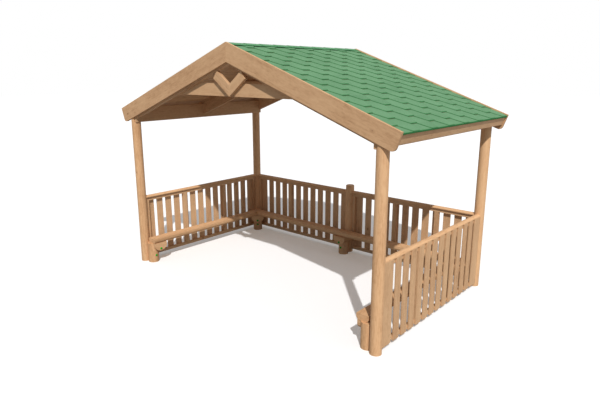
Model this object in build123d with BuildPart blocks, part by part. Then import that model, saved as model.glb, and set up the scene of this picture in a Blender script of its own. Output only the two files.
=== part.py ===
from build123d import *
from math import cos, radians, sin, sqrt, tan
import os

# Timber garden gazebo with a shingled gable roof, slatted fences and log benches.
# Millimetres. X runs along the open front, Y from front to back, Z up, ground at Z = 0.

# Overall sizes
post_spacing_x = 4200.0
post_spacing_y = 2400.0
roof_pitch = 20.0
plate_bottom = 2114.0
eave_overhang = 239.0

# Posts
post_diameter = 130.0
middle_post_height = 1092.0
middle_post_dome = 18.0

# Bargeboards, measured square to the slope
bargeboard_depth = 210.0
bargeboard_thickness = 32.0
bargeboard_face_offset = 78.0
bargeboard_corner_radius = 50.0

# Roof build-up, measured square to the slope from the top edge of the bargeboards
shingle_drop = 8.0
shingle_butt = 12.0
shingle_head = 6.0
deck_thickness = 20.0
deck_ridge_gap = 14.0
course_count = 17
drip_depth = 30.0
drip_thickness = 5.0

# Ridge cap
ridge_cap_width = 90.0
ridge_cap_thickness = 5.0

# Fascia boards
fascia_height = 100.0
fascia_thickness = 25.0
fascia_set_in = 15.0

# Rafters, collars and V braces
rafter_depth = 195.0
rafter_thickness = 45.0
rafter_tail_depth = 70.0
collar_height = 150.0
collar_thickness = 28.0
collar_below_apex = 616.0
collar_end_clearance = 6.0
brace_width = 110.0
brace_thickness = 45.0
brace_angle = 37.0
brace_edge_length = 344.0

# Wall plates
plate_height = 210.0
plate_thickness = 45.0
plate_face_offset = 78.0
plate_to_deck_gap = 33.1

# Fences
slat_width = 104.0
slat_thickness = 22.0
slat_face_offset = 42.0
slat_bottom = 45.0
side_slat_count = 14
side_front_board = 151.0
side_rear_board = 157.0
back_slat_count = 12
back_left_board = 160.0
back_right_board = 127.0
rail_thickness = 35.0
bottom_rail_bottom = 57.0
bottom_rail_height = 43.0
top_rail_height = 55.0
cap_bottom = 977.0
cap_height = 30.0
cap_width = 80.0
cap_tip_gap = 1.0
scribe_clearance = 0.3
batten_width = 65.0
side_batten_places = (0.315, 0.676)
back_batten_places = (0.385, 0.728)
stile_width = 45.0

# Benches
seat_top = 372.0
seat_width = 160.0
seat_depth = 75.0
seat_edge_radius = 50.0
seat_back_offset = 100.0
seat_front_set_in = 10.0
seat_housing = 3.0
bearer_width = 205.0
corner_bearer_width = 220.0
bearer_depth = 122.0
bearer_round = 60.0
bearer_reach = 248.0
middle_bearer_reach = 270.0
corner_bearer_reach = 355.0
front_bearer_set_back = 118.0
leg_diameter = 155.0
front_leg_set_back = 52.0
corner_leg_set_in = 123.0
log_clearance = 0.3

# Bolt caps
bolt_cap_diameter = 34.0
bolt_cap_height = 12.0
bearer_cap_height = 208.0
leg_cap_height = 108.0

# Places worked out from the sizes above
slope = radians(roof_pitch)
half_x = post_spacing_x / 2
half_y = post_spacing_y / 2
post_radius = post_diameter / 2
gable_face = half_y + bargeboard_face_offset
gable_inner = gable_face - bargeboard_thickness
slope_length = (half_x + eave_overhang) / cos(slope)
shingle_bottom_drop = shingle_drop + shingle_butt
deck_bottom_drop = shingle_bottom_drop + deck_thickness
rafter_bottom_drop = deck_bottom_drop + rafter_depth
tail_bottom_drop = deck_bottom_drop + rafter_tail_depth
fascia_outer = slope_length - fascia_set_in
fascia_inner = fascia_outer - fascia_thickness
plate_inner = half_x - plate_face_offset
plate_outer = plate_inner + plate_thickness
plate_top = plate_bottom + plate_height
plate_rise = plate_outer * tan(slope) + deck_bottom_drop / cos(slope)
apex_height = plate_top + plate_to_deck_gap + plate_rise
collar_bottom = apex_height - collar_below_apex
seat_bottom = seat_top - seat_depth
bearer_top = seat_bottom + seat_housing
bearer_bottom = bearer_top - bearer_depth
rail_back = slat_face_offset - slat_thickness
rail_front = rail_back - rail_thickness
slat_top = cap_bottom
leg_distance = post_radius + leg_diameter / 2 + log_clearance
front_leg_set_in = sqrt(max(leg_distance**2 - front_leg_set_back**2, 0))

os.makedirs("parts", exist_ok=True)
finished = []


def finish(builder, label):
    """Label a finished piece and write it to its own file."""
    builder.part.label = label
    export_step(builder.part, f"parts/{label}.step")
    finished.append(label)


def elevation(y_back):
    """Sketch plane of the front view, from which an extrusion runs towards the front."""
    return Plane.XZ.offset(-y_back)


def on_slope(along, drop):
    """Point of the right slope: a distance down from the ridge and a drop square to it."""
    x = along * cos(slope) - drop * sin(slope)
    z = apex_height - along * sin(slope) - drop * cos(slope)
    return (x, z)


def under_slope(x, drop):
    """Point straight below the right slope at a given x and a drop square to it."""
    return (x, apex_height - x * tan(slope) - drop / cos(slope))


def mirrored(points, side):
    """The same outline on the left or right side."""
    return [(side * x, z) for x, z in points]


# Posts

def corner_post(side_x, side_y, label):
    """Round post with seats for a wall plate and a bargeboard, cut to the slope on top."""
    x = side_x * half_x
    y = side_y * half_y
    reach = post_diameter
    with BuildPart() as post:
        with BuildSketch() as section:
            with Locations((x, y)):
                Circle(post_radius)
        extrude(amount=apex_height)
        with BuildSketch(elevation(y + reach)):
            with BuildLine():
                Polyline(
                    mirrored(
                        [
                            under_slope(half_x - reach, tail_bottom_drop),
                            under_slope(half_x + reach, tail_bottom_drop),
                            (half_x + reach, apex_height + reach),
                            (half_x - reach, apex_height + reach),
                        ],
                        side_x,
                    ),
                    close=True,
                )
            make_face()
        extrude(amount=2 * reach, mode=Mode.SUBTRACT)
        with BuildSketch(Plane.XY.offset(plate_bottom)):
            with Locations((side_x * (plate_outer - reach / 2), y)):
                Rectangle(reach, 2 * reach)
        extrude(amount=apex_height, mode=Mode.SUBTRACT)
        seat_back = max(side_y * gable_inner, side_y * (gable_inner + reach))
        with BuildSketch(elevation(seat_back)):
            with BuildLine():
                Polyline(
                    mirrored(
                        [
                            under_slope(half_x - reach, bargeboard_depth),
                            under_slope(half_x + reach, bargeboard_depth),
                            (half_x + reach, apex_height),
                            (half_x - reach, apex_height),
                        ],
                        side_x,
                    ),
                    close=True,
                )
            make_face()
        extrude(amount=reach, mode=Mode.SUBTRACT)
    finish(post, label)


corner_post(-1, -1, "front_left_post")
corner_post(1, -1, "front_right_post")
corner_post(-1, 1, "back_left_post")
corner_post(1, 1, "back_right_post")

with BuildPart() as middle_post:
    with BuildSketch():
        with Locations((0, half_y)):
            Circle(post_radius)
    extrude(amount=middle_post_height)
    fillet(middle_post.edges().sort_by(Axis.Z)[-1], radius=middle_post_dome)
finish(middle_post, "back_middle_post")


# Roof timbers

def bargeboard(side_x, side_y, label):
    """Gable board, mitred at the ridge, with a rounded lower corner at the eave."""
    with BuildPart() as board:
        with BuildSketch(elevation(max(side_y * gable_inner, side_y * gable_face))) as outline:
            with BuildLine():
                Polyline(
                    mirrored(
                        [
                            under_slope(0, 0),
                            on_slope(slope_length, 0),
                            on_slope(slope_length, bargeboard_depth),
                            under_slope(0, bargeboard_depth),
                        ],
                        side_x,
                    ),
                    close=True,
                )
            make_face()
            lower_corner = outline.vertices().sort_by(Axis.Y)[0]
            fillet(lower_corner, radius=bargeboard_corner_radius)
        extrude(amount=bargeboard_thickness)
    finish(board, label)


bargeboard(-1, -1, "front_left_bargeboard")
bargeboard(1, -1, "front_right_bargeboard")
bargeboard(-1, 1, "back_left_bargeboard")
bargeboard(1, 1, "back_right_bargeboard")


def rafter(side_x, y_back, label):
    """Rafter with a plumb ridge cut, a notch over the wall plate and a shallow tail."""
    with BuildPart() as timber:
        with BuildSketch(elevation(y_back)):
            with BuildLine():
                Polyline(
                    mirrored(
                        [
                            under_slope(0, deck_bottom_drop),
                            on_slope(fascia_inner, deck_bottom_drop),
                            on_slope(fascia_inner, tail_bottom_drop),
                            under_slope(plate_outer, tail_bottom_drop),
                            (plate_outer, plate_top),
                            (plate_inner, plate_top),
                            under_slope(plate_inner, rafter_bottom_drop),
                            under_slope(0, rafter_bottom_drop),
                        ],
                        side_x,
                    ),
                    close=True,
                )
            make_face()
        extrude(amount=rafter_thickness)
    finish(timber, label)


truss_backs = {
    "front": rafter_thickness - gable_inner,
    "middle": rafter_thickness / 2,
    "back": gable_inner,
}
for truss, y_back in truss_backs.items():
    rafter(-1, y_back, f"{truss}_left_rafter")
    rafter(1, y_back, f"{truss}_right_rafter")

collar_backs = [
    truss_backs["front"] + collar_thickness,
    truss_backs["middle"] - rafter_thickness,
    truss_backs["back"] - rafter_thickness,
]
collar_drop = deck_bottom_drop + collar_end_clearance
collar_rise = collar_bottom + collar_height


def x_under_slope(z, drop):
    """Where a level line at height z meets the right slope at a drop square to it."""
    return (apex_height - drop / cos(slope) - z) / tan(slope)


with BuildPart() as collar_ties:
    for y_back in collar_backs:
        with BuildSketch(elevation(y_back)):
            with BuildLine():
                Polyline(
                    (-x_under_slope(collar_rise, collar_drop), collar_rise),
                    (x_under_slope(collar_rise, collar_drop), collar_rise),
                    (x_under_slope(collar_bottom, collar_drop), collar_bottom),
                    (-x_under_slope(collar_bottom, collar_drop), collar_bottom),
                    close=True,
                )
            make_face()
        extrude(amount=collar_thickness)
finish(collar_ties, "collar_ties")


def v_brace(y_back, label):
    """Two short boards that meet in a V on the face of a collar, under the rafters."""
    angle = radians(brace_angle)
    end_x = brace_edge_length * cos(angle)
    end_z = collar_bottom + brace_edge_length * sin(angle)
    top_x = end_x - brace_width * sin(angle)
    top_z = end_z + brace_width * cos(angle)
    notch_z = collar_bottom + brace_width / cos(angle)
    arm = [(0, collar_bottom), (end_x, end_z), (top_x, top_z), (0, notch_z)]
    with BuildPart() as brace:
        for side in (-1, 1):
            with BuildSketch(elevation(y_back)):
                with BuildLine():
                    Polyline(mirrored(arm, side), close=True)
                make_face()
                with BuildLine():
                    Polyline(
                        mirrored(
                            [
                                under_slope(0, rafter_bottom_drop),
                                under_slope(2 * end_x, rafter_bottom_drop),
                                (2 * end_x, apex_height),
                                (0, apex_height),
                            ],
                            side,
                        ),
                        close=True,
                    )
                make_face(mode=Mode.SUBTRACT)
            extrude(amount=brace_thickness)
    finish(brace, label)


v_brace(truss_backs["front"], "front_v_brace")
v_brace(truss_backs["back"] - rafter_thickness + brace_thickness, "back_v_brace")


def wall_plate(side_x, label):
    """Deep plate along the eave, let into the inner side of the posts."""
    with BuildPart() as plate:
        with BuildSketch(Plane.XY.offset(plate_bottom)):
            with Locations((side_x * (plate_inner + plate_outer) / 2, 0)):
                Rectangle(plate_thickness, 2 * gable_inner)
        extrude(amount=plate_height)
    finish(plate, label)


wall_plate(-1, "left_wall_plate")
wall_plate(1, "right_wall_plate")


def slope_board(side_x, points, label):
    """A piece that runs from gable to gable with a constant section."""
    with BuildPart() as piece:
        with BuildSketch(elevation(gable_inner)):
            with BuildLine():
                Polyline(mirrored(points, side_x), close=True)
            make_face()
        extrude(amount=2 * gable_inner)
    finish(piece, label)


deck_outline = [
    under_slope(deck_ridge_gap / 2, shingle_bottom_drop),
    on_slope(fascia_outer, shingle_bottom_drop),
    on_slope(fascia_outer, deck_bottom_drop),
    under_slope(deck_ridge_gap / 2, deck_bottom_drop),
]
fascia_outline = [
    on_slope(fascia_inner, deck_bottom_drop),
    on_slope(fascia_outer, deck_bottom_drop),
    on_slope(fascia_outer, deck_bottom_drop + fascia_height),
    on_slope(fascia_inner, deck_bottom_drop + fascia_height),
]

# Shingle courses: each one is thick at its lower edge and thin where the next covers it
course_pitch = slope_length / course_count
thin_drop = shingle_bottom_drop - shingle_head
shingle_outline = [under_slope(0, shingle_bottom_drop), under_slope(0, thin_drop)]
for course in range(1, course_count + 1):
    edge = course * course_pitch
    shingle_outline.append(on_slope(edge, shingle_drop))
    if course < course_count:
        shingle_outline.append(on_slope(edge, thin_drop))
shingle_outline += [
    on_slope(slope_length, drip_depth),
    on_slope(slope_length - drip_thickness, drip_depth),
    on_slope(slope_length - drip_thickness, shingle_bottom_drop),
]

for side_x, side in ((-1, "left"), (1, "right")):
    slope_board(side_x, deck_outline, f"{side}_roof_deck")
    slope_board(side_x, fascia_outline, f"{side}_fascia")
    slope_board(side_x, shingle_outline, f"{side}_shingles")

with BuildPart() as ridge_cap:
    with BuildSketch(elevation(gable_inner)):
        with BuildLine():
            Polyline(
                under_slope(0, shingle_drop - ridge_cap_thickness),
                on_slope(ridge_cap_width, shingle_drop - ridge_cap_thickness),
                on_slope(ridge_cap_width, shingle_drop),
                under_slope(0, shingle_drop),
                *mirrored(
                    [
                        on_slope(ridge_cap_width, shingle_drop),
                        on_slope(ridge_cap_width, shingle_drop - ridge_cap_thickness),
                    ],
                    -1,
                ),
                close=True,
            )
        make_face()
    extrude(amount=2 * gable_inner)
finish(ridge_cap, "ridge_cap")


# Fences: slats on the outer side, rails and battens on the inner side, a round cap on top

def fence(base, length, slat_count, first_board, last_board, batten_places, label):
    """Slatted panel in a plane whose X runs along the fence and whose Y points outwards."""
    inner_slats = slat_count - 2
    inner_length = length - first_board - last_board
    slat_gap = (inner_length - inner_slats * slat_width) / (slat_count - 1)
    with BuildPart() as panel:
        with BuildSketch(base.offset(slat_bottom)):
            for start, width in (
                (-post_radius, first_board + post_radius),
                (length - last_board, last_board + post_radius),
            ):
                with Locations((start, rail_back)):
                    Rectangle(width, slat_thickness, align=(Align.MIN, Align.MIN))
            for index in range(inner_slats):
                start = first_board + slat_gap + index * (slat_width + slat_gap)
                with Locations((start, rail_back)):
                    Rectangle(slat_width, slat_thickness, align=(Align.MIN, Align.MIN))
        extrude(amount=slat_top - slat_bottom)
        for rail_bottom, rail_height in (
            (bottom_rail_bottom, bottom_rail_height),
            (cap_bottom - top_rail_height, top_rail_height),
        ):
            with BuildSketch(base.offset(rail_bottom)):
                with Locations((-post_radius, rail_front)):
                    Rectangle(
                        length + post_diameter, rail_thickness, align=(Align.MIN, Align.MIN)
                    )
            extrude(amount=rail_height)
        with BuildSketch(base.offset(bottom_rail_bottom)):
            for share in batten_places:
                with Locations((length * share - batten_width / 2, rail_front)):
                    Rectangle(batten_width, rail_thickness, align=(Align.MIN, Align.MIN))
            for start in (-post_radius, length - stile_width):
                with Locations((start, rail_front)):
                    Rectangle(
                        stile_width + post_radius, rail_thickness, align=(Align.MIN, Align.MIN)
                    )
        extrude(amount=cap_bottom - bottom_rail_bottom)
        with BuildSketch(base):
            with Locations((-post_radius, 0), (length + post_radius, 0)):
                Circle(post_radius + scribe_clearance)
        extrude(amount=cap_bottom + cap_height, mode=Mode.SUBTRACT)
    finish(panel, label)


def cap_rail(base, length, label):
    """Rounded rail on top of a fence, hollowed at its ends to fit the round posts."""
    tip = max(sqrt(post_radius**2 - (cap_width / 2) ** 2), cap_width / 2 + cap_tip_gap)
    overlap = max(post_radius - tip, 0)
    with BuildPart() as cap:
        section = Plane(origin=base.origin, x_dir=base.y_dir, z_dir=base.x_dir)
        with BuildSketch(section.offset(-overlap)):
            with BuildLine():
                left_foot = (-cap_width / 2, cap_bottom)
                right_foot = (cap_width / 2, cap_bottom)
                shoulder = cap_bottom + cap_height / 3
                Line(left_foot, right_foot)
                Line(right_foot, (cap_width / 2, shoulder))
                ThreePointArc(
                    (cap_width / 2, shoulder),
                    (0, cap_bottom + cap_height),
                    (-cap_width / 2, shoulder),
                )
                Line((-cap_width / 2, shoulder), left_foot)
            make_face()
        extrude(amount=length + 2 * overlap)
        with BuildSketch(base.offset(cap_bottom)):
            with Locations((-post_radius, 0), (length + post_radius, 0)):
                Circle(post_radius + scribe_clearance)
        extrude(amount=cap_height, mode=Mode.SUBTRACT)
    finish(cap, label)


side_length = post_spacing_y - post_diameter
back_length = half_x - post_diameter
from_back = tuple(1 - share for share in reversed(side_batten_places))
side_start = half_y - post_radius
up = (0, 0, 1)
panels = [
    (
        "left",
        Plane((-half_x, -side_start, 0), (0, 1, 0), up),
        side_length,
        (side_slat_count, side_front_board, side_rear_board, side_batten_places),
    ),
    (
        "right",
        Plane((half_x, side_start, 0), (0, -1, 0), up),
        side_length,
        (side_slat_count, side_rear_board, side_front_board, from_back),
    ),
    (
        "back_left",
        Plane((-half_x + post_radius, half_y, 0), (1, 0, 0), up),
        back_length,
        (back_slat_count, back_left_board, back_right_board, back_batten_places),
    ),
    (
        "back_right",
        Plane((post_radius, half_y, 0), (1, 0, 0), up),
        back_length,
        (back_slat_count, back_left_board, back_right_board, back_batten_places),
    ),
]
for side, base, length, boards in panels:
    fence(base, length, *boards, f"{side}_fence")
    cap_rail(base, length, f"{side}_cap_rail")


# Benches: flat-topped split logs on half-round bearers and round legs

def seat_section():
    """Outline of a seat log: flat on top and below, with well rounded lower edges."""
    with BuildSketch() as outline:
        with Locations((0, seat_top - seat_depth / 2)):
            Rectangle(seat_width, seat_depth)
        fillet(outline.vertices().sort_by(Axis.Y)[:2], radius=seat_edge_radius)
    return outline.sketch


def bearer_section(width):
    """Outline of a bearer log: flat on top, upright at the sides and round below."""
    shoulder = bearer_bottom + bearer_round
    with BuildSketch() as outline:
        with BuildLine():
            Polyline(
                (-width / 2, shoulder),
                (-width / 2, bearer_top),
                (width / 2, bearer_top),
                (width / 2, shoulder),
            )
            ThreePointArc((width / 2, shoulder), (0, bearer_bottom), (-width / 2, shoulder))
        make_face()
    return outline.sketch


seat_outer_x = half_x - seat_back_offset
seat_middle_x = seat_outer_x - seat_width / 2
seat_outer_y = half_y - seat_back_offset
seat_middle_y = seat_outer_y - seat_width / 2
seat_front = -half_y + seat_front_set_in
post_places = [
    (-half_x, -half_y),
    (half_x, -half_y),
    (-half_x, half_y),
    (half_x, half_y),
    (0, half_y),
]
front_leg_x = half_x - front_leg_set_in
front_leg_y = -half_y + front_leg_set_back
corner_leg_x = half_x - corner_leg_set_in
corner_leg_y = half_y - corner_leg_set_in
front_legs = [(-front_leg_x, front_leg_y), (front_leg_x, front_leg_y)]
coped_legs = [(-corner_leg_x, corner_leg_y), (corner_leg_x, corner_leg_y)]
coped_legs.append((0, half_y - leg_distance))


# Posts and front legs with a small gap round them, which seats and bearers are scribed to
with BuildPart() as post_clearance:
    with BuildSketch():
        with Locations(*post_places):
            Circle(post_radius + log_clearance)
    extrude(amount=seat_top + seat_depth)

with BuildPart() as leg_clearance:
    with BuildSketch():
        with Locations(*front_legs):
            Circle(leg_diameter / 2 + log_clearance)
    extrude(amount=seat_top + seat_depth)


# The space inside the fence rails, which the bearers keep to
with BuildPart() as bench_space:
    inner_x = half_x + rail_front - log_clearance
    inner_y = half_y + rail_front - log_clearance
    with BuildSketch():
        with Locations((0, inner_y)):
            Rectangle(2 * inner_x, post_spacing_y * 2, align=(Align.CENTER, Align.MAX))
    extrude(amount=seat_top)


def bearer(start, inward, width, reach, label):
    """Half-round cross log under the seats, pointing inwards from the line of the posts."""
    with BuildPart() as log:
        section = Plane((*start, 0), (-inward[1], inward[0], 0), (*inward, 0))
        with BuildSketch(section):
            add(bearer_section(width))
        extrude(amount=reach)
        add(post_clearance.part, mode=Mode.SUBTRACT)
        add(leg_clearance.part, mode=Mode.SUBTRACT)
        add(bench_space.part, mode=Mode.INTERSECT)
        # The cuts leave a splinter between post and leg, so only the log itself is kept
        add(log.solids().sort_by(SortBy.VOLUME)[-1], mode=Mode.REPLACE)
    finish(log, label)
    return log


diagonal = 1 / sqrt(2)
bearer_y = -half_y + front_bearer_set_back
supports = [
    ("front_left", (-half_x, bearer_y), (1, 0), bearer_width, bearer_reach),
    ("front_right", (half_x, bearer_y), (-1, 0), bearer_width, bearer_reach),
    (
        "back_left",
        (-half_x, half_y),
        (diagonal, -diagonal),
        corner_bearer_width,
        corner_bearer_reach,
    ),
    (
        "back_right",
        (half_x, half_y),
        (-diagonal, -diagonal),
        corner_bearer_width,
        corner_bearer_reach,
    ),
    ("back_middle", (0, half_y), (0, -1), bearer_width, middle_bearer_reach),
]
bearers = [
    bearer(start, inward, width, reach, f"{name}_bearer")
    for name, start, inward, width, reach in supports
]


def side_seat(side_x, label):
    """Seat log along one side, mitred to the back seat."""
    with BuildPart() as seat:
        section = Plane((side_x * seat_middle_x, seat_front, 0), (-1, 0, 0), (0, 1, 0))
        with BuildSketch(section):
            add(seat_section())
        extrude(amount=seat_outer_y - seat_front)
        mitre = Plane((side_x * seat_outer_x, seat_outer_y, 0), (0, 0, 1), (side_x, -1, 0))
        split(bisect_by=mitre, keep=Keep.TOP)
        add(post_clearance.part, mode=Mode.SUBTRACT)
        for log in bearers:
            add(log.part, mode=Mode.SUBTRACT)
    finish(seat, label)


side_seat(-1, "left_seat")
side_seat(1, "right_seat")

with BuildPart() as back_seat:
    with BuildSketch(Plane((-seat_outer_x, seat_middle_y, 0), (0, 1, 0), (1, 0, 0))):
        add(seat_section())
    extrude(amount=2 * seat_outer_x)
    for side_x in (-1, 1):
        mitre = Plane((side_x * seat_outer_x, seat_outer_y, 0), (0, 0, 1), (side_x, -1, 0))
        split(bisect_by=mitre, keep=Keep.BOTTOM)
    add(post_clearance.part, mode=Mode.SUBTRACT)
    for log in bearers:
        add(log.part, mode=Mode.SUBTRACT)
finish(back_seat, "back_seat")

with BuildPart() as bench_legs:
    with BuildSketch():
        with Locations(*front_legs):
            Circle(leg_diameter / 2)
    extrude(amount=seat_bottom)
    with BuildSketch():
        with Locations(*coped_legs):
            Circle(leg_diameter / 2)
    extrude(amount=bearer_bottom + bearer_round)
    for log in bearers:
        add(log.part, mode=Mode.SUBTRACT)
finish(bench_legs, "bench_legs")

with BuildPart() as bolt_caps:
    for (name, start, inward, width, reach), leg in zip(supports, front_legs + coped_legs):
        bearer_end = (start[0] + inward[0] * reach, start[1] + inward[1] * reach)
        sunk = bolt_cap_diameter / 2
        leg_face = leg_diameter / 2 - sunk
        leg_end = (leg[0] + inward[0] * leg_face, leg[1] + inward[1] * leg_face)
        for spot, height, length in (
            (bearer_end, bearer_cap_height, bolt_cap_height),
            (leg_end, leg_cap_height, sunk + bolt_cap_height),
        ):
            with BuildSketch(Plane((*spot, height), (0, 0, 1), (*inward, 0))):
                Circle(bolt_cap_diameter / 2)
            extrude(amount=length)
    add(bench_legs.part, mode=Mode.SUBTRACT)
finish(bolt_caps, "bolt_caps")

print(len(finished), "pieces:", ", ".join(finished))
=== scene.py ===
import math
import random

import bmesh
import bpy
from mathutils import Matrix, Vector


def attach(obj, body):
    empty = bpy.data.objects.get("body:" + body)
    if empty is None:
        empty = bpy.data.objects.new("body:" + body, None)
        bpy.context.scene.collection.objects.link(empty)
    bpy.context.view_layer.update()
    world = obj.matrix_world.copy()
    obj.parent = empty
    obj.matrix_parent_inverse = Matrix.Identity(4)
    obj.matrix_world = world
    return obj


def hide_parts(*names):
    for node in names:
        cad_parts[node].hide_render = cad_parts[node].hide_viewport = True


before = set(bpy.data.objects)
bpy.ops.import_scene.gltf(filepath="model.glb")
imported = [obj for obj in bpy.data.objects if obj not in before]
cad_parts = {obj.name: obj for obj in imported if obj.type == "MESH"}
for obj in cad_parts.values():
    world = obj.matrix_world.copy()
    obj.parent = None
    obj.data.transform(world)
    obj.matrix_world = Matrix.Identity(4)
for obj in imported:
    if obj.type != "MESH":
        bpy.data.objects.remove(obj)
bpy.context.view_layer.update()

scene = bpy.context.scene
rng = random.Random(7)

SIDES = ((-1, "left"), (1, "right"))
UP = (0, 0, 1)
ALONG_X = (1, 0, 0)
ALONG_Y = (0, 1, 0)
DIAGONAL = math.sqrt(0.5)

# Sizes in metres, as in the part's source: posts and benches
HALF_X = 2.1
HALF_Y = 1.2
POST_RADIUS = 0.065
CAP_RAIL_LOW = 0.977
FRONT_BEARER_Y = 0.118 - HALF_Y
FRONT_LEG_X = HALF_X - 0.133
FRONT_LEG_Y = 0.052 - HALF_Y
CORNER_LEG_X = HALF_X - 0.123
CORNER_LEG_Y = HALF_Y - 0.123
MIDDLE_LEG_Y = HALF_Y - 0.143

# The roof line is the top edge of the bargeboards, and depths are square to it
SLOPE = math.radians(20)
APEX = 3.152
HALF_WIDTH = 2.339
SLOPE_LENGTH = HALF_WIDTH / math.cos(SLOPE)
SHINGLE_TOP = 0.008
SHINGLE_BOTTOM = 0.02
DECK_BOTTOM = 0.04
TAIL_BOTTOM = 0.11
RAFTER_BOTTOM = 0.235

# Timbers of the roof
GABLE_FACE = 1.278
BARGE_THICK = 0.032
BARGE_DEPTH = 0.21
BARGE_RADIUS = 0.05
GABLE_INNER = GABLE_FACE - BARGE_THICK
ROOF_DEPTH = 2 * GABLE_INNER
RAFTER_THICK = 0.045
FASCIA_OUT = SLOPE_LENGTH - 0.015
FASCIA_IN = FASCIA_OUT - 0.025
FASCIA_DEPTH = 0.1
PLATE_IN = 2.022
PLATE_OUT = 2.067
PLATE_LOW = 2.114
PLATE_TOP = 2.324
COLLAR_LOW = 2.536
COLLAR_HIGH = 2.686
COLLAR_THICK = 0.028
COLLAR_DROP = 0.046
BRACE_ANGLE = math.radians(37)
BRACE_LENGTH = 0.344
BRACE_WIDTH = 0.11
BRACE_THICK = 0.045

# Shingles: a sheet lies deeper by the tilt for each course length above its lower edge
COURSES = 17
COURSE = SLOPE_LENGTH / COURSES
COURSE_TILT = 0.006
TAB_PITCH = 0.36
TAB_HALF_LOW = 0.06
TAB_HALF_HIGH = 0.12
FIRST_TAB = -1.002
# Tabs of a course, counted from the first; the gables cut or leave out the outermost
TAB_NUMBERS = range(-2, 8)
FELT_THICK = 0.0045
RIDGE_GAP = 0.009


def linear(r, g, b):
    """Linear colour of a display colour given in 0 to 255."""
    return [((c / 255 + 0.055) / 1.055) ** 2.4 if c > 10 else c / 3294.6 for c in (r, g, b)] + [1]


# Shader helpers

class Nodes:
    """The node tree of a material or world, with short calls for what repeats."""

    def __init__(self, owner):
        owner.use_nodes = True
        self.owner = owner
        self.tree = owner.node_tree
        self.tree.nodes.clear()

    def add(self, kind, inputs=None, **settings):
        """A new node; an input is a number, a colour or another node's output."""
        node = self.tree.nodes.new(kind)
        for key, value in settings.items():
            setattr(node, key, value)
        for key, value in (inputs or {}).items():
            self.put(node.inputs[key], value)
        return node

    def put(self, socket, value):
        if isinstance(value, bpy.types.NodeSocket):
            self.tree.links.new(value, socket)
        else:
            socket.default_value = value

    def math(self, operation, a, b=0.0, c=0.0, clamp=False):
        inputs = {0: a, 1: b, 2: c}
        return self.add("ShaderNodeMath", inputs, operation=operation, use_clamp=clamp).outputs[0]

    def plus(self, value, other, amount):
        """The value and an amount of the other."""
        return self.math("ADD", value, self.math("MULTIPLY", other, amount))

    def vary(self, value, noise, amount, clamp=False):
        """The value moved up and down by a noise round its middle."""
        swing = self.math("MULTIPLY", self.math("SUBTRACT", noise, 0.5), amount)
        return self.math("ADD", value, swing, clamp=clamp)

    def step(self, value, low, high, to_low=0.0, to_high=1.0):
        """A smooth change from to_low to to_high while the value goes from low to high."""
        node = self.add(
            "ShaderNodeMapRange",
            {0: value, 1: low, 2: high, 3: to_low, 4: to_high},
            interpolation_type="SMOOTHSTEP",
        )
        return node.outputs[0]

    def attribute(self, name, output):
        return self.add("ShaderNodeAttribute", attribute_name=name).outputs[output]

    def place(self):
        return self.add("ShaderNodeTexCoord").outputs["Object"]

    def noise(self, vector, scale, detail, roughness=0.55):
        node = self.add(
            "ShaderNodeTexNoise",
            {"Vector": vector, "Scale": scale, "Detail": detail, "Roughness": roughness},
        )
        return node.outputs["Fac"]

    def cells(self, vector, scale):
        node = self.add("ShaderNodeTexVoronoi", {"Vector": vector, "Scale": scale}, feature="F1")
        return node.outputs["Distance"]

    def stretch(self, vector, x, y, z):
        node = self.add("ShaderNodeVectorMath", {0: vector, 1: (x, y, z)}, operation="MULTIPLY")
        return node.outputs[0]

    def mix(self, factor, a, b):
        """A mix of two colours, which are the node's inputs 6 and 7 and its output 2."""
        return self.add("ShaderNodeMix", {0: factor, 6: a, 7: b}, data_type="RGBA").outputs[2]

    def ramp(self, factor, dark, base, light):
        node = self.add("ShaderNodeValToRGB", {0: factor})
        elements = node.color_ramp.elements
        elements.new(0.5)
        for element, place, colour in zip(elements, (0.0, 0.5, 1.0), (dark, base, light)):
            element.position = place
            element.color = colour
        return node.outputs[0]

    def surface(self, colour, roughness, height, bump, distance, specular):
        """Ends a material with its shader and a bump made from the height."""
        normal = self.add(
            "ShaderNodeBump", {"Strength": bump, "Distance": distance, "Height": height}
        )
        shader = self.add(
            "ShaderNodeBsdfPrincipled",
            {
                "Base Color": colour,
                "Roughness": roughness,
                "Specular IOR Level": specular,
                "Normal": normal.outputs[0],
            },
        )
        self.add("ShaderNodeOutputMaterial", {0: shader.outputs[0]})
        return self.owner


# Materials

# Radians to the metre, which makes a growth ring every 5.5 mm
RING_WAVE = 1150.0
KNOT_HALO = linear(150, 104, 66)
KNOT_CORE = linear(104, 64, 38)


def knots(nodes, colour, grain, streak, size):
    """Scattered knots: a pale brown halo round a dark core."""
    distance = nodes.cells(nodes.stretch(grain, 2.6, 5.2, 5.2), 1.0)
    near = nodes.plus(distance, streak, 0.02)
    halo = nodes.step(near, size, size * 2.6, 0.3, 0.0)
    core = nodes.step(near, size * 0.7, size, 0.75, 0.0)
    return nodes.mix(core, nodes.mix(halo, colour, KNOT_HALO), KNOT_CORE)


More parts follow.
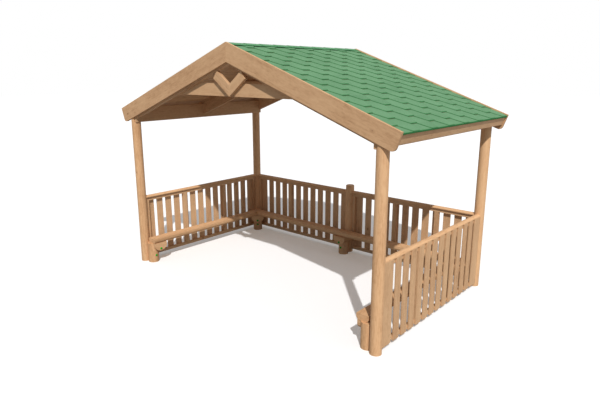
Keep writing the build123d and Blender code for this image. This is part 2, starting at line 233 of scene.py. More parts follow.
def timber(name, light, base, dark, ring_strength, knot_size, figure):
    """Sawn or turned softwood: growth rings round a pith, streaks, knots and fine fibres."""
    nodes = Nodes(bpy.data.materials.new(name))
    grain = nodes.attribute("grain", "Vector")
    tone = nodes.attribute("tone", "Fac")

    def drawn_out(along, across, detail=2.0, roughness=0.55):
        """A noise with its own scale along the grain and across it."""
        return nodes.noise(nodes.stretch(grain, along, across, across), 1.0, detail, roughness)

    # Growth rings, a little wavy along the timber
    split = nodes.add("ShaderNodeSeparateXYZ", {0: grain})
    section = nodes.add("ShaderNodeCombineXYZ", {1: split.outputs[1], 2: split.outputs[2]})
    from_pith = nodes.add("ShaderNodeVectorMath", {0: section.outputs[0]}, operation="LENGTH")
    radius = nodes.plus(from_pith.outputs["Value"], drawn_out(1.1, 5.0), 0.045)
    rings = nodes.step(nodes.math("SINE", nodes.math("MULTIPLY", radius, RING_WAVE)), 0.1, 1.0)

    # Marks drawn out along the grain, gathered into one shade
    streak = drawn_out(2.2, 55.0, 4.0, 0.6)
    patch = drawn_out(1.3, 7.0)
    blotch = drawn_out(5.0, 14.0, 4.0)
    speckle = drawn_out(18.0, 48.0)
    dash = drawn_out(9.0, 70.0)
    fibre = drawn_out(22.0, 900.0)
    shade = nodes.math("MULTIPLY_ADD", streak, figure, 0.52 - figure / 2)
    shade = nodes.vary(shade, blotch, figure)
    shade = nodes.vary(shade, patch, 0.75)
    shade = nodes.plus(shade, tone, 0.16)
    shade = nodes.vary(shade, speckle, 0.6)
    shade = nodes.math("SUBTRACT", shade, nodes.step(dash, 0.62, 0.74, 0.0, figure * 0.5))
    shade = nodes.math("SUBTRACT", shade, nodes.math("MULTIPLY", rings, ring_strength))
    shade = nodes.vary(shade, fibre, 0.1, clamp=True)

    colour = knots(nodes, nodes.ramp(shade, dark, base, light), grain, streak, knot_size)
    height = nodes.plus(nodes.math("MULTIPLY", fibre, 0.6), rings, -0.4)
    roughness = nodes.step(streak, 0.2, 0.8, 0.62, 0.8)
    return nodes.surface(colour, roughness, height, bump=0.35, distance=0.0012, specular=0.25)


def felt(name, light, base, dark, painted_side_shade, painted_low_shade):
    """Mineral felt with coloured granules; the edge attribute places a tab's painted shade lines.
    """
    nodes = Nodes(bpy.data.materials.new(name))
    edge = nodes.add("ShaderNodeSeparateXYZ", {0: nodes.attribute("edge", "Vector")})
    tone = nodes.attribute("tone", "Fac")
    place = nodes.place()
    granules = nodes.noise(place, 420.0, 2.0, 0.7)
    patch = nodes.noise(place, 3.0, 3.0)
    shade = nodes.math("MULTIPLY_ADD", granules, 0.7, 0.15)
    shade = nodes.plus(shade, tone, 0.12)
    shade = nodes.vary(shade, patch, 0.5, clamp=True)
    colour = nodes.ramp(shade, dark, base, light)

    # Painted shade lines at a tab's sides and lower edge: full up to the first distance, gone at
    # the second
    for index, full, gone, amount, shade_colour in (
        (1, 0.006, 0.022, 0.8, painted_side_shade),
        (2, 0.002, 0.008, 0.3, painted_side_shade),
        (0, 0.008, 0.018, 0.72, painted_low_shade),
    ):
        distance = nodes.vary(edge.outputs[index], granules, 0.006)
        colour = nodes.mix(nodes.step(distance, full, gone, amount, 0.0), colour, shade_colour)

    height = nodes.plus(granules, nodes.cells(place, 330.0), 0.5)
    roughness = nodes.step(granules, 0.3, 0.7, 0.82, 0.95)
    return nodes.surface(colour, roughness, height, bump=0.4, distance=0.0015, specular=0.2)


def plastic(name, base, dark):
    """Moulded plastic with a faint mottle and fine scratches."""
    nodes = Nodes(bpy.data.materials.new(name))
    place = nodes.place()
    mottle = nodes.noise(place, 60.0, 3.0)
    scratch = nodes.noise(nodes.stretch(place, 900.0, 120.0, 120.0), 1.0, 2.0)
    colour = nodes.mix(nodes.step(mottle, 0.3, 0.7), dark, base)
    roughness = nodes.step(scratch, 0.3, 0.7, 0.28, 0.42)
    return nodes.surface(colour, roughness, scratch, bump=0.08, distance=0.0005, specular=0.25)


SAWN = timber(
    "sawn_timber",
    light=linear(221, 181, 138),
    base=linear(205, 163, 122),
    dark=linear(168, 124, 86),
    ring_strength=0.1,
    knot_size=0.055,
    figure=0.55,
)
ROUND = timber(
    "round_timber",
    light=linear(234, 192, 145),
    base=linear(222, 176, 131),
    dark=linear(190, 142, 98),
    ring_strength=0.12,
    knot_size=0.045,
    figure=0.4,
)
# Each felt's side and low line colours are painted shade along the tabs' edges
SHINGLE = felt(
    "green_felt",
    light=linear(119, 163, 122),
    base=linear(104, 147, 107),
    dark=linear(82, 124, 87),
    painted_side_shade=linear(76, 132, 84),
    painted_low_shade=linear(54, 124, 68),
)
DRIP = felt(
    "eave_felt",
    light=linear(54, 140, 76),
    base=linear(44, 124, 66),
    dark=linear(32, 100, 52),
    painted_side_shade=linear(30, 92, 48),
    painted_low_shade=linear(24, 84, 42),
)
# The ridge felt's low line colour is a painted shadow along each wing's lower edge, its side line
# colour painted shade at each piece's front end
RIDGE = felt(
    "ridge_felt",
    light=linear(120, 168, 127),
    base=linear(104, 154, 112),
    dark=linear(80, 132, 90),
    painted_side_shade=linear(60, 130, 76),
    painted_low_shade=linear(28, 104, 52),
)
GREEN = plastic("green_plastic", base=linear(8, 158, 20), dark=linear(6, 136, 16))


# Outlines in x and z, drawn for the right-hand side

def on_slope(along, depth):
    """The point so far down the roof line from the ridge, and so deep under it."""
    x = along * math.cos(SLOPE) - depth * math.sin(SLOPE)
    return (x, APEX - along * math.sin(SLOPE) - depth * math.cos(SLOPE))


def under_slope(x, depth):
    """The point at this x that is so deep under the roof line."""
    return (x, APEX - x * math.tan(SLOPE) - depth / math.cos(SLOPE))


def slope_box(near, far, top, bottom):
    """A rectangle that lies along the roof line."""
    return [on_slope(near, top), on_slope(far, top), on_slope(far, bottom), on_slope(near, bottom)]


def sided(points, side):
    return [(side * x, z) for x, z in points]


def clip(points, nx, nz, limit):
    """The part of an outline where nx * x + nz * z is at most the limit."""
    kept = []
    for (ax, az), (bx, bz) in zip(points, points[1:] + points[:1]):
        a = nx * ax + nz * az - limit
        b = nx * bx + nz * bz - limit
        if a <= 0:
            kept.append((ax, az))
        if (a < 0 < b) or (b < 0 < a):
            share = a / (a - b)
            kept.append((ax + (bx - ax) * share, az + (bz - az) * share))
    return kept


# Pieces and their grain

# Each timber starts somewhere in this length of grain, so that none repeats another
GRAIN_RUN = 40
# How far a board's pith lies to one side of its centre, and how far off its face
PITH_ASIDE = 0.06
PITH_NEAR = 0.03
PITH_FAR = 0.11
# How far a round timber's pith lies from its axis
PITH_OFFSET = 0.012
# A board's edges that turn by more than the angle, in radians, are eased by the width
SHARP_ANGLE = 0.5
EASED_EDGE = 0.0025
# Round pieces are welded and shaded smooth up to the angle, in degrees
SMOOTH_ANGLE = 35
WELD_DISTANCE = 0.00002


def board_grain(centre, grain, face):
    """Grain of a sawn board: the pith lies beside it, off the face with this normal."""
    axis = Vector(grain).normalized()
    side = axis.orthogonal().normalized() if abs(axis.dot(face)) > 0.9 else face
    side = (side - axis * side.dot(axis)).normalized()
    over = axis.cross(side)
    run = rng.uniform(0, GRAIN_RUN)
    near = rng.uniform(-PITH_ASIDE, PITH_ASIDE)
    far = rng.choice((-1, 1)) * rng.uniform(PITH_NEAR, PITH_FAR)

    def grain_at(co):
        offset = co - centre
        return (offset.dot(axis) + run, offset.dot(over) + near, offset.dot(side) + far)

    return grain_at


def upright(x, y):
    """Grain and tone of a standing log, its pith a little off its axis."""
    run = rng.uniform(0, GRAIN_RUN)
    tone = rng.uniform(-1, 1)
    off_x = rng.uniform(-PITH_OFFSET, PITH_OFFSET)
    off_y = rng.uniform(-PITH_OFFSET, PITH_OFFSET)
    return lambda co: ((co.z + run, co.x - x + off_x, co.y - y + off_y), tone)


def lying(x, y, z, dx, dy):
    """Grain and tone of a level log: its pith runs through the point in the direction."""
    run = rng.uniform(0, GRAIN_RUN)
    tone = rng.uniform(-1, 1)

    def grain_at(co):
        along = (co.x - x) * dx + (co.y - y) * dy
        aside = (co.y - y) * dx - (co.x - x) * dy
        return (along + run, aside, co.z - z), tone

    return grain_at


class Piece:
    """Gathers solids with their grain or edge coordinates into one object.
    A board's tone strays by the spread round the painted lift, which where it is not zero is
    painted light that lightens every board of the piece."""

    def __init__(self, name, material, slot, *nodes, lift=0.0, spread=1.0):
        self.name, self.material, self.slot_name, self.nodes = name, material, slot, nodes
        self.lift, self.spread = lift, spread
        self.points, self.faces, self.vectors, self.tones = [], [], [], []

    def solid(self, bm, vector_of, tone):
        """Takes over a bmesh; vector_of gives a point's grain or edge vector."""
        start = len(self.points)
        bm.verts.index_update()
        for vert in bm.verts:
            self.points.append(vert.co[:])
            self.vectors.append(vector_of(vert.co))
            self.tones.append(tone)
        self.faces += [[start + vert.index for vert in face.verts] for face in bm.faces]
        bm.free()

    def prism(self, outline, origin, u, v, depth, grain, bevel=EASED_EDGE):
        """An outline in the plane of u and v, given depth along u x v, with eased edges."""
        u, v, origin = Vector(u).normalized(), Vector(v).normalized(), Vector(origin)
        w = u.cross(v)
        bm = bmesh.new()
        face = bm.faces.new([bm.verts.new(origin + u * a + v * b) for a, b in outline])
        result = bmesh.ops.extrude_face_region(bm, geom=[face])
        moved = [item for item in result["geom"] if isinstance(item, bmesh.types.BMVert)]
        bmesh.ops.translate(bm, vec=w * depth, verts=moved)
        bmesh.ops.recalc_face_normals(bm, faces=bm.faces)
        if bevel:
            edges = [edge for edge in bm.edges if edge.calc_face_angle(0) > SHARP_ANGLE]
            bmesh.ops.bevel(
                bm, geom=edges, offset=bevel, segments=2, profile=0.6, affect="EDGES",
                clamp_overlap=True,
            )
        centre = sum((vert.co for vert in bm.verts), Vector()) / len(bm.verts)
        grain_at = board_grain(centre, grain, w)
        self.solid(bm, grain_at, rng.uniform(-1, 1) * self.spread + self.lift)

    def gable_prism(self, outline, back, depth, grain, bevel=EASED_EDGE):
        """A prism in the plane of the gable, from y = back towards the front."""
        self.prism(outline, (0, back, 0), ALONG_X, UP, depth, grain, bevel)

    def copy(self, node, grain_of):
        """The CAD node's own shape; grain_of gives a point's grain vector and its tone."""
        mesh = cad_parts[node].data
        start = len(self.points)
        for vertex in mesh.vertices:
            vector, tone = grain_of(vertex.co)
            self.points.append(vertex.co[:])
            self.vectors.append(vector)
            self.tones.append(tone)
        self.faces += [[start + index for index in face.vertices] for face in mesh.polygons]

    def done(self, smooth=None, vector="grain", weld=False):
        """Makes the object and puts it in the place of its CAD nodes."""
        mesh = bpy.data.meshes.new(self.name)
        mesh.from_pydata(self.points, [], self.faces)
        layer = mesh.attributes.new(vector, "FLOAT_VECTOR", "POINT")
        layer.data.foreach_set("vector", [number for point in self.vectors for number in point])
        layer = mesh.attributes.new("tone", "FLOAT", "POINT")
        layer.data.foreach_set("value", self.tones)
        if weld:
            bm = bmesh.new()
            bm.from_mesh(mesh)
            bmesh.ops.remove_doubles(bm, verts=bm.verts, dist=WELD_DISTANCE)
            bm.to_mesh(mesh)
            bm.free()
        mesh.update()
        if smooth:
            mesh.shade_smooth()
            mesh.set_sharp_from_angle(angle=math.radians(smooth))
        mesh.materials.append(self.material)
        piece = bpy.data.objects.new(self.name, mesh)
        scene.collection.objects.link(piece)
        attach(piece, "root")
        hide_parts(*self.nodes)


def sawn(node, ending, **tones):
    return Piece(node + ending, SAWN, "sawn_timber", node, **tones)


def whole_log(node, ending, grain_of):
    """A round timber in the exact shape of its CAD node."""
    piece = Piece(node + ending, ROUND, "round_timber", node)
    piece.copy(node, grain_of)
    piece.done(smooth=SMOOTH_ANGLE, weld=True)


# Posts, bench legs and the level logs

posts = {
    "front_left_post": (-HALF_X, -HALF_Y),
    "front_right_post": (HALF_X, -HALF_Y),
    "back_left_post": (-HALF_X, HALF_Y),
    "back_right_post": (HALF_X, HALF_Y),
    "back_middle_post": (0, HALF_Y),
}
for node, spot in posts.items():
    whole_log(node, "_round", upright(*spot))

leg_spots = [
    (-FRONT_LEG_X, FRONT_LEG_Y),
    (FRONT_LEG_X, FRONT_LEG_Y),
    (-CORNER_LEG_X, CORNER_LEG_Y),
    (CORNER_LEG_X, CORNER_LEG_Y),
    (0, MIDDLE_LEG_Y),
]
leg_grains = [upright(*spot) for spot in leg_spots]


def leg_grain(co):
    """Grain round the leg that the point belongs to."""
    distances = [math.dist((co.x, co.y), spot) for spot in leg_spots]
    return leg_grains[distances.index(min(distances))](co)


whole_log("bench_legs", "_round", leg_grain)

# Height of the pith in each kind of log, and the middle lines of the seats
CAP_PITH = 0.96
SEAT_PITH = 0.34
BEARER_PITH = 0.29
SEAT_X = 1.92
BACK_SEAT_Y = 1.02

level_logs = {
    "left_cap_rail": (-HALF_X, 0, CAP_PITH, 0, 1),
    "right_cap_rail": (HALF_X, 0, CAP_PITH, 0, 1),
    "back_left_cap_rail": (0, HALF_Y, CAP_PITH, 1, 0),
    "back_right_cap_rail": (0, HALF_Y, CAP_PITH, 1, 0),
    "left_seat": (-SEAT_X, 0, SEAT_PITH, 0, 1),
    "right_seat": (SEAT_X, 0, SEAT_PITH, 0, 1),
    "back_seat": (0, BACK_SEAT_Y, SEAT_PITH, 1, 0),
    "front_left_bearer": (-HALF_X, FRONT_BEARER_Y, BEARER_PITH, 1, 0),
    "front_right_bearer": (HALF_X, FRONT_BEARER_Y, BEARER_PITH, 1, 0),
    "back_left_bearer": (-HALF_X, HALF_Y, BEARER_PITH, DIAGONAL, -DIAGONAL),
    "back_right_bearer": (HALF_X, HALF_Y, BEARER_PITH, DIAGONAL, DIAGONAL),
    "back_middle_bearer": (0, HALF_Y, BEARER_PITH, 0, 1),
}
for node, line in level_logs.items():
    whole_log(node, "_log", lying(*line))


# Sawn timbers of the roof

# Where the back face of each truss's rafters lies, in y
TRUSS_BACKS = {
    "front": RAFTER_THICK - GABLE_INNER,
    "middle": RAFTER_THICK / 2,
    "back": GABLE_INNER,
}
CORNER_STEPS = 8
DECK_BOARDS = 20
DECK_START = 0.022
DECK_GAP = 0.001
DECK_GROOVE = 0.005


def down_slope(side):
    return (side * math.cos(SLOPE), 0, -math.sin(SLOPE))


def bargeboards(side, word):
    """Boards mitred at the ridge, with the lower corner rounded off."""
    outline = [under_slope(0, 0), on_slope(SLOPE_LENGTH, 0)]
    for index in range(CORNER_STEPS + 1):
        turn = math.radians(90 * index / CORNER_STEPS)
        along = SLOPE_LENGTH - BARGE_RADIUS * (1 - math.cos(turn))
        outline.append(on_slope(along, BARGE_DEPTH - BARGE_RADIUS * (1 - math.sin(turn))))
    outline.append(under_slope(0, BARGE_DEPTH))
    for end, back in (("front", -GABLE_INNER), ("back", GABLE_FACE)):
        piece = sawn(f"{end}_{word}_bargeboard", "_board", spread=0.15)
        piece.gable_prism(sided(outline, side), back, BARGE_THICK, down_slope(side))
        piece.done()


def rafters(side, word):
    """Rafters with a plumb cut at the ridge, a seat on the wall plate and a shallow tail."""
    outline = [
        under_slope(0, DECK_BOTTOM),
        on_slope(FASCIA_IN, DECK_BOTTOM),
        on_slope(FASCIA_IN, TAIL_BOTTOM),
        under_slope(PLATE_OUT, TAIL_BOTTOM),
        (PLATE_OUT, PLATE_TOP),
        (PLATE_IN, PLATE_TOP),
        under_slope(PLATE_IN, RAFTER_BOTTOM),
        under_slope(0, RAFTER_BOTTOM),
    ]
    for end, back in TRUSS_BACKS.items():
        piece = sawn(f"{end}_{word}_rafter", "_beam")
        piece.gable_prism(sided(outline, side), back, RAFTER_THICK, down_slope(side))
        piece.done()


def wall_plate(side, word):
    width, height = PLATE_OUT - PLATE_IN, PLATE_TOP - PLATE_LOW
    left = min(side * PLATE_IN, side * PLATE_OUT)
    outline = [(0, 0), (width, 0), (width, height), (0, height)]
    piece = sawn(f"{word}_wall_plate", "_beam")
    piece.prism(outline, (left, GABLE_INNER, PLATE_LOW), ALONG_X, UP, ROOF_DEPTH, ALONG_Y)
    piece.done()


def fascia(side, word):
    outline = slope_box(FASCIA_IN, FASCIA_OUT, DECK_BOTTOM, DECK_BOTTOM + FASCIA_DEPTH)
    piece = sawn(f"{word}_fascia", "_board")
    piece.gable_prism(sided(outline, side), GABLE_INNER, ROOF_DEPTH, ALONG_Y)
    piece.done()


def roof_deck(side, word):
    """Boards from gable to gable, chamfered along the joints that show from below."""
    piece = sawn(f"{word}_roof_deck", "_boards")
    pitch = (FASCIA_OUT - DECK_START) / DECK_BOARDS
    for index in range(DECK_BOARDS):
        near = DECK_START + index * pitch
        far = DECK_START + (index + 1) * pitch - DECK_GAP
        outline = [
            on_slope(near, SHINGLE_BOTTOM),
            on_slope(far, SHINGLE_BOTTOM),
            on_slope(far, DECK_BOTTOM - DECK_GROOVE),
            on_slope(far - DECK_GROOVE, DECK_BOTTOM),
            on_slope(near + DECK_GROOVE, DECK_BOTTOM),
            on_slope(near, DECK_BOTTOM - DECK_GROOVE),
        ]
        piece.gable_prism(sided(outline, side), GABLE_INNER, ROOF_DEPTH, ALONG_Y, bevel=0)
    piece.done()


def collar_ties():
    """A level board on each truss: behind the front rafters, before the other two pairs."""
    high, low = [
        (APEX - COLLAR_DROP / math.cos(SLOPE) - z) / math.tan(SLOPE)
        for z in (COLLAR_HIGH, COLLAR_LOW)
    ]
    outline = [(-high, COLLAR_HIGH), (high, COLLAR_HIGH), (low, COLLAR_LOW), (-low, COLLAR_LOW)]
    piece = Piece("collar_tie_boards", SAWN, "sawn_timber", "collar_ties")
    for back in (
        TRUSS_BACKS["front"] + COLLAR_THICK,
        TRUSS_BACKS["middle"] - RAFTER_THICK,
        TRUSS_BACKS["back"] - RAFTER_THICK,
    ):
        piece.gable_prism(outline, back, COLLAR_THICK, ALONG_X)
    piece.done()


def v_braces():
    """Two boards that rise from the middle of the collar and are cut off under the rafters."""
    run, rise = math.cos(BRACE_ANGLE), math.sin(BRACE_ANGLE)
    tip_x, tip_z = BRACE_LENGTH * run, COLLAR_LOW + BRACE_LENGTH * rise
    outline = [
        (0, COLLAR_LOW),
        (tip_x, tip_z),
        (tip_x - BRACE_WIDTH * rise, tip_z + BRACE_WIDTH * run),
        (0, COLLAR_LOW + BRACE_WIDTH / run),
    ]
    under_rafters = APEX * math.cos(SLOPE) - RAFTER_BOTTOM
    outline = clip(outline, math.sin(SLOPE), math.cos(SLOPE), under_rafters)
    for end, back in (
        ("front", TRUSS_BACKS["front"]),
        ("back", TRUSS_BACKS["back"] - RAFTER_THICK + BRACE_THICK),
    ):
        piece = sawn(f"{end}_v_brace", "_boards")
        for side in (-1, 1):
            piece.gable_prism(sided(outline, side), back, BRACE_THICK, (side * run, 0, rise))
        piece.done()


for side, word in SIDES:
    bargeboards(side, word)
    rafters(side, word)
    wall_plate(side, word)
    fascia(side, word)
    roof_deck(side, word)
collar_ties()
v_braces()


# Fences, with their offsets measured outwards from the line through the posts

SLAT_WIDTH = 0.104
SLAT_LOW = 0.045
SLAT_OUT = 0.042
# The slats are 16 mm thick, as the photo's slits ask for, and 6 mm thicker in the source
SLAT_IN = 0.026
RAIL_IN = -0.015
RAILS = ((0.057, 0.1), (0.922, CAP_RAIL_LOW))
BATTEN = 0.065
STILE = 0.045
POST_GAP = 0.001


def fence(node, origin, u, length, count, first, last, battens):
    """Boards of one panel: u runs along the fence and u turned by 90 degrees points out.
    The first and last of the boards have widths of their own."""
    out = (-u[1], u[0], 0)
    # The lift lightens every fence board: painted light in place of more light falling on the
    # fences
    piece = sawn(node, "_boards", lift=0.8)

    def standing(inner, outer, low, high, start, end, outer_start, outer_end):
        outline = [(start, inner), (end, inner), (outer_end, outer), (outer_start, outer)]
        piece.prism(outline, (*origin, low), u, out, high - low, UP)

    def slat(start, end, outer_start, outer_end):
        standing(SLAT_IN, SLAT_OUT, SLAT_LOW, CAP_RAIL_LOW, start, end, outer_start, outer_end)

    def batten(start, end, outer_start, outer_end):
        low, high = RAILS[0][1], RAILS[1][0]
        standing(RAIL_IN, SLAT_IN, low, high, start, end, outer_start, outer_end)

    def at_post(offset):
        """Where the round post ends, at this offset from the fence's centre line."""
        return math.sqrt(POST_RADIUS**2 - offset**2) - POST_RADIUS + POST_GAP

    at_rail, at_slat, at_face = at_post(RAIL_IN), at_post(SLAT_IN), at_post(SLAT_OUT)
    slat(at_slat, first, at_face, first)
    gap = (length - first - last - (count - 2) * SLAT_WIDTH) / (count - 1)
    for index in range(count - 2):
        start = first + gap + index * (SLAT_WIDTH + gap)
        slat(start, start + SLAT_WIDTH, start, start + SLAT_WIDTH)
    slat(length - last, length - at_slat, length - last, length - at_face)
    for low, high in RAILS:
        outline = [
            (at_rail, RAIL_IN),
            (length - at_rail, RAIL_IN),
            (length - at_slat, SLAT_IN),
            (at_slat, SLAT_IN),
        ]
        piece.prism(outline, (*origin, low), u, out, high - low, u)
    for share in battens:
        start = length * share - BATTEN / 2
        batten(start, start + BATTEN, start, start + BATTEN)
    batten(at_rail, STILE, at_slat, STILE)
    batten(length - STILE, length - at_rail, length - STILE, length - at_slat)
    piece.done()


SIDE_END = HALF_Y - POST_RADIUS
fence(
    "left_fence", (-HALF_X, -SIDE_END), (0, 1, 0), 2 * HALF_Y - 2 * POST_RADIUS,
    count=14, first=0.151, last=0.157, battens=(0.315, 0.676),
)
fence(
    "right_fence", (HALF_X, SIDE_END), (0, -1, 0), 2 * HALF_Y - 2 * POST_RADIUS,
    count=14, first=0.157, last=0.151, battens=(0.324, 0.685),
)
for node, x in (("back_left_fence", POST_RADIUS - HALF_X), ("back_right_fence", POST_RADIUS)):
    fence(
        node, (x, HALF_Y), (1, 0, 0), HALF_X - 2 * POST_RADIUS,
        count=12, first=0.16, last=0.127, battens=(0.385, 0.728),
    )


# Shingles: each point has an edge vector, its distances from the lower edge and the two sides

FAR_OFF = 0.2
NO_EDGE = (FAR_OFF, FAR_OFF, FAR_OFF)


def from_gable_to_gable(top, low):
    return [(-GABLE_INNER, top), (GABLE_INNER, top), (GABLE_INNER, low), (-GABLE_INNER, low)]


def felt_sheet(piece, side, course, corners, edges, tone):
    """A flat piece of one course from corners given as y and the distance from the ridge."""
    bm = bmesh.new()
    rows = []
    for layer in (0, FELT_THICK):
        row = []
        for y, along in corners:
            depth = SHINGLE_TOP + COURSE_TILT * (course * COURSE - along) / COURSE
            x, z = on_slope(along, depth + layer)
            row.append(bm.verts.new((side * x, y, z)))
        rows.append(row)
    top, under = rows
    bm.faces.new(top)
    bm.faces.new(under[::-1])
    for i in range(len(corners)):
        j = (i + 1) % len(corners)
        bm.faces.new((top[j], top[i], under[i], under[j]))
    bmesh.ops.recalc_face_normals(bm, faces=bm.faces)
    values = iter(edges * 2)
    piece.solid(bm, lambda co: next(values), tone)


def tab(middle, top, low):
    """Corners and edge vectors of a tab that narrows downwards, cut off at the gables."""
    corners = [
        (middle - TAB_HALF_HIGH, top),
        (middle + TAB_HALF_HIGH, top),
        (middle + TAB_HALF_LOW, low),
        (middle - TAB_HALF_LOW, low),
    ]
    corners = clip(clip(corners, 1, 0, GABLE_INNER), -1, 0, GABLE_INNER)
    taper = TAB_HALF_HIGH - TAB_HALF_LOW
    slant = math.hypot(taper, COURSE)
    edges = []
    for y, along in corners:
        up = low - along
        lean = taper * up / COURSE
        left = (y - middle + TAB_HALF_LOW + lean) * COURSE / slant
        right = (middle + TAB_HALF_LOW + lean - y) * COURSE / slant
        edges.append((up, left, right))
    return corners, edges


def shingle_tabs(side, word):
    """Courses of tabs, half a pitch apart, each over a head lap that shows between them."""
    piece = Piece(f"{word}_shingle_tabs", SHINGLE, "green_shingles", f"{word}_shingles")
    for course in range(1, COURSES + 1):
        low = course * COURSE
        top = max((course - 1) * COURSE, RIDGE_GAP)
        head = max((course - 2) * COURSE, RIDGE_GAP)
        if top > head:
            corners = from_gable_to_gable(head, top)
            felt_sheet(piece, side, course, corners, [NO_EDGE] * 4, rng.uniform(-0.4, 0.4))
        shift = FIRST_TAB if course % 2 else FIRST_TAB + TAB_PITCH / 2
        for number in TAB_NUMBERS:
            corners, edges = tab(shift + number * TAB_PITCH, top, low)
            if len(corners) > 2:
                felt_sheet(piece, side, course, corners, edges, rng.uniform(-1, 1))
    starter = from_gable_to_gable((COURSES - 1) * COURSE, COURSES * COURSE)
    edges = [(COURSES * COURSE - along, FAR_OFF, FAR_OFF) for _, along in starter]
    felt_sheet(piece, side, COURSES + 1, starter, edges, 0.0)
    piece.done(vector="edge")


DRIP_IN = SLOPE_LENGTH - 0.005
DRIP_OUT = SLOPE_LENGTH - 0.0002
DRIP_TOP = 0.0195
DRIP_BOTTOM = 0.03


def eave_drip(side, word):
    """The thick folded edge of the felt at the eave."""
    piece = Piece(f"{word}_eave_drip", DRIP, "green_shingles", f"{word}_shingles")
    outline = slope_box(DRIP_IN, DRIP_OUT, DRIP_TOP, DRIP_BOTTOM)
    piece.gable_prism(sided(outline, side), GABLE_INNER, ROOF_DEPTH, ALONG_Y, bevel=0.001)
    piece.vectors = [NO_EDGE] * len(piece.points)
    piece.done(vector="edge")


RIDGE_PIECES = 10
RIDGE_LAP = 1.35
RIDGE_DEPTH = 0.007
RIDGE_THICK = 0.004
RAISED_FRONT = 0.0045
RAISED_BACK = 0.0005
WING = 0.09
# The crest is rounded off: lower by the drop, which fades out over the width
CREST_DROP = 0.002
CREST_WIDTH = 0.012
# A scale that widens the painted shadow line along a wing's edge, and a shift that thins the
# painted shade line at its front
WING_SHADOW_SCALE = 0.55
FRONT_SHADE_SHIFT = 0.004


def ridge_wing(piece, side, front, back, tone):
    """Half of a ridge piece: a sheet whose front end is raised onto the piece before it."""
    bm = bmesh.new()
    rows = []
    for y, raised in ((front, RAISED_FRONT), (back, RAISED_BACK)):
        row = []
        for across in (0, WING / 3, WING * 2 / 3, WING):
            depth = RIDGE_DEPTH - raised + CREST_DROP * math.exp(-across / CREST_WIDTH)
            for layer in (0, RIDGE_THICK):
                x, z = on_slope(across, depth + layer)
                row.append(bm.verts.new((side * x, y, z)))
        rows.append(row)
    # Each row holds four pairs of points, on top and underneath
    near, far = rows
    for k in (0, 2, 4):
        for layer in (0, 1):
            corner = k + layer
            bm.faces.new([near[corner], near[corner + 2], far[corner + 2], far[corner]])
        bm.faces.new([near[k], near[k + 2], near[k + 3], near[k + 1]])
    bm.faces.new([near[6], far[6], far[7], near[7]])
    bmesh.ops.recalc_face_normals(bm, faces=bm.faces)

    # Distances that place the painted shadow line along the wing's edge and the painted shade line
    # at the piece's front end
    def edge_at(co):
        from_wing = WING - abs(co.x) / math.cos(SLOPE)
        return (from_wing * WING_SHADOW_SCALE, co.y - front + FRONT_SHADE_SHIFT, FAR_OFF)

    piece.solid(bm, edge_at, tone)


def ridge_cap():
    piece = Piece("ridge_cap_strips", RIDGE, "green_shingles", "ridge_cap")
    pitch = ROOF_DEPTH / RIDGE_PIECES
    for index in range(RIDGE_PIECES):
        front = -GABLE_INNER + index * pitch
        back = min(front + pitch * RIDGE_LAP, GABLE_INNER)
        tone = rng.uniform(-1, 1)
        for side in (-1, 1):
            ridge_wing(piece, side, front, back, tone)
    piece.done(vector="edge")


for side, word in SIDES:
    shingle_tabs(side, word)
    eave_drip(side, word)
ridge_cap()


# Domed plastic caps over the bolts

FLANGE_RADIUS = 0.017
FLANGE_THICK = 0.002
FLANGE_EASE = 0.0003
DOME_RADIUS = 0.0156
DOME_START = 0.003
DOME_HEIGHT = 0.009
DOME_TURNS = (0.3, 0.6, 0.9, 1.2, 1.45)
ROUND_STEPS = 24


def bolt_cap(piece, x, y, height, direction):
    """A round cap with a flange, turned about its direction."""
    axis = Vector((*direction, 0))
    aside = Vector((-direction[1], direction[0], 0))
    profile = [
        (FLANGE_RADIUS, 0.0),
        (FLANGE_RADIUS, FLANGE_THICK),
        ((FLANGE_RADIUS + DOME_RADIUS) / 2, DOME_START - FLANGE_EASE),
        (DOME_RADIUS, DOME_START),
    ]
    for turn in DOME_TURNS:
        profile.append((DOME_RADIUS * math.cos(turn), DOME_START + DOME_HEIGHT * math.sin(turn)))
    bm = bmesh.new()
    rings = []
    for radius, out in profile:
        ring = []
        for k in range(ROUND_STEPS):
            turn = math.tau * k / ROUND_STEPS
            point = aside * (radius * math.cos(turn)) + Vector(UP) * (radius * math.sin(turn))
            ring.append(bm.verts.new(Vector((x, y, height)) + axis * out + point))
        rings.append(ring)
    for near, far in zip(rings, rings[1:]):
        for k in range(ROUND_STEPS):
            following = (k + 1) % ROUND_STEPS
            bm.faces.new((near[k], near[following], far[following], far[k]))
    bm.faces.new(rings[-1])
    bmesh.ops.recalc_face_normals(bm, faces=bm.faces)
    piece.solid(bm, lambda co: NO_EDGE, 0.0)


# How far out from the post or leg each cap sits, and how high
FRONT_OUT = 0.248
CORNER_OUT = 0.355
MIDDLE_OUT = 0.27
LEG_OUT = 0.0755
BEARER_BOLT = 0.208
LEG_BOLT = 0.108
left_corner, right_corner = (DIAGONAL, -DIAGONAL), (-DIAGONAL, -DIAGONAL)
leg_faces = [(1, 0), (-1, 0), left_corner, right_corner, (0, -1)]
bolts = [
    ((-HALF_X, FRONT_BEARER_Y), (1, 0), FRONT_OUT, BEARER_BOLT),
    ((HALF_X, FRONT_BEARER_Y), (-1, 0), FRONT_OUT, BEARER_BOLT),
    ((-HALF_X, HALF_Y), left_corner, CORNER_OUT, BEARER_BOLT),
    ((HALF_X, HALF_Y), right_corner, CORNER_OUT, BEARER_BOLT),
    ((0, HALF_Y), (0, -1), MIDDLE_OUT, BEARER_BOLT),
]
bolts += [(spot, facing, LEG_OUT, LEG_BOLT) for spot, facing in zip(leg_spots, leg_faces)]
piece = Piece("bolt_cap_domes", GREEN, "green_plastic", "bolt_caps")
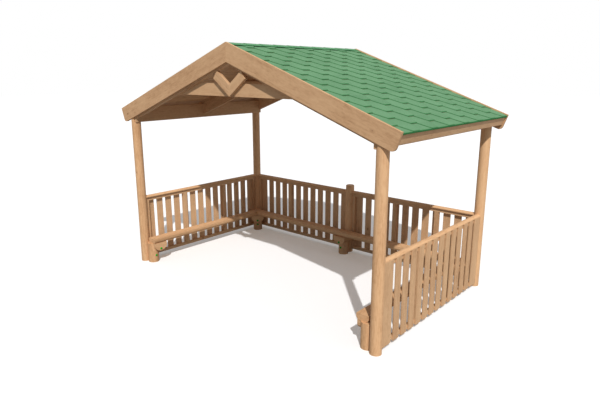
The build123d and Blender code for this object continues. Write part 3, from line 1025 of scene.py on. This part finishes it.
for (x, y), (dx, dy), out, height in bolts:
    bolt_cap(piece, x + dx * out, y + dy * out, height, (dx, dy))
piece.done(smooth=SMOOTH_ANGLE)


# Floor and sky: each has one look for the camera and reflections, and one for the light it gives

FLOOR_HALF = 60


def seen(nodes):
    """1 for camera, glossy and transmission rays."""
    path = nodes.add("ShaderNodeLightPath")
    most = nodes.math("MAXIMUM", path.outputs["Is Camera Ray"], path.outputs["Is Glossy Ray"])
    return nodes.math("MAXIMUM", most, path.outputs["Is Transmission Ray"])


def pale_floor():
    nodes = Nodes(bpy.data.materials.new("pale_floor"))
    ray = seen(nodes)
    plain = nodes.add("ShaderNodeBsdfDiffuse", {"Color": (0.26, 0.246, 0.228, 1)})
    pale = nodes.add("ShaderNodeBsdfDiffuse", {"Color": (0.9, 0.9, 0.9, 1)})
    glow = nodes.add("ShaderNodeEmission", {"Color": (1.0, 0.9, 0.78, 1), "Strength": 0.18})
    both = nodes.add("ShaderNodeAddShader", {0: pale.outputs[0], 1: glow.outputs[0]})
    shown = nodes.add("ShaderNodeMixShader", {0: ray, 1: plain.outputs[0], 2: both.outputs[0]})
    nodes.add("ShaderNodeOutputMaterial", {0: shown.outputs[0]})
    return nodes.owner


corners = [(x * FLOOR_HALF, y * FLOOR_HALF, 0) for x, y in ((-1, -1), (1, -1), (1, 1), (-1, 1))]
floor_mesh = bpy.data.meshes.new("floor")
floor_mesh.from_pydata(corners, [], [(0, 1, 2, 3)])
floor_mesh.materials.append(pale_floor())
floor = bpy.data.objects.new("floor", floor_mesh)
scene.collection.objects.link(floor)

world = bpy.data.worlds.new("world")
scene.world = world
nodes = Nodes(world)
ray = seen(nodes)
strength = nodes.add("ShaderNodeMapRange", {0: ray, 3: 0.33, 4: 1.0}).outputs[0]
tint = nodes.mix(ray, (0.9, 0.97, 1.08, 1), (1, 1, 1, 1))
sky = nodes.add("ShaderNodeBackground", {"Color": tint, "Strength": strength})
nodes.add("ShaderNodeOutputWorld", {0: sky.outputs[0]})


# Light and camera

def sun_light(name, energy, spread, tilt, turn):
    """A distant lamp; its spread and its two angles are in degrees."""
    lamp = bpy.data.objects.new(name, bpy.data.lights.new(name, "SUN"))
    lamp.data.energy = energy
    lamp.data.angle = math.radians(spread)
    lamp.rotation_euler = (math.radians(tilt), 0, math.radians(turn))
    scene.collection.objects.link(lamp)


sun_light("sun", energy=3.1, spread=0.8, tilt=45, turn=44.6)
sun_light("side_light", energy=0.28, spread=50, tilt=72, turn=112)

# The photo's camera, as fitted to it: it looks down by the tilt
CAMERA_PLACE = (4.7438, -5.3778, 2.8300)
CAMERA_TILT = 13.818
CAMERA_TURN = 41.381
CAMERA_LENS = 31.5
CAMERA_SENSOR = 36.0

camera_data = bpy.data.cameras.new("camera")
camera_data.lens = CAMERA_LENS
camera_data.sensor_width = CAMERA_SENSOR
camera = bpy.data.objects.new("camera", camera_data)
camera.location = CAMERA_PLACE
camera.rotation_euler = (math.radians(90 - CAMERA_TILT), 0, math.radians(CAMERA_TURN))
scene.collection.objects.link(camera)
scene.camera = camera
scene.view_settings.view_transform = "Standard"
